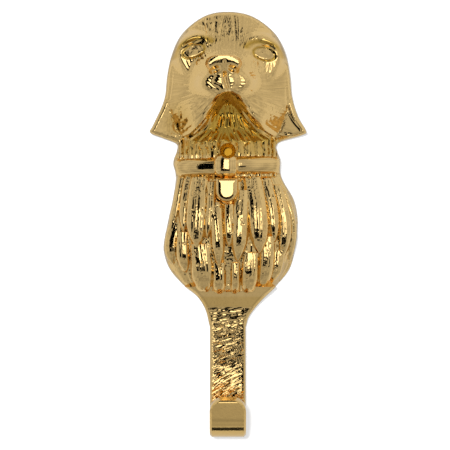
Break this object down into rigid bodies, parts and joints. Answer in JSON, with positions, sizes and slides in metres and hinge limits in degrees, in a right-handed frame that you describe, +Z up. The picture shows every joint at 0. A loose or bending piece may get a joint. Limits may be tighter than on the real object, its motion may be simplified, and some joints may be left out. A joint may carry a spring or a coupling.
{
  "type": "wall hook",
  "caption": "Cast brass wall hook in the form of a spaniel's head with collar, bare tag and chest fur, on a strap bent up into a short hook, held by a screw through the throat.",
  "frame": {"origin": "axis of the screw hole, on the back face that lies against the wall", "axes": "+Z up the hook, +Y into the wall, so the dog faces -Y"},
  "size_m": [0.0612, 0.026, 0.165],
  "materials": {
    "brass": "polished cast brass"
  },
  "bodies": {
    "root": {"hook_casting": "brass"}
  },
  "joints": []
}
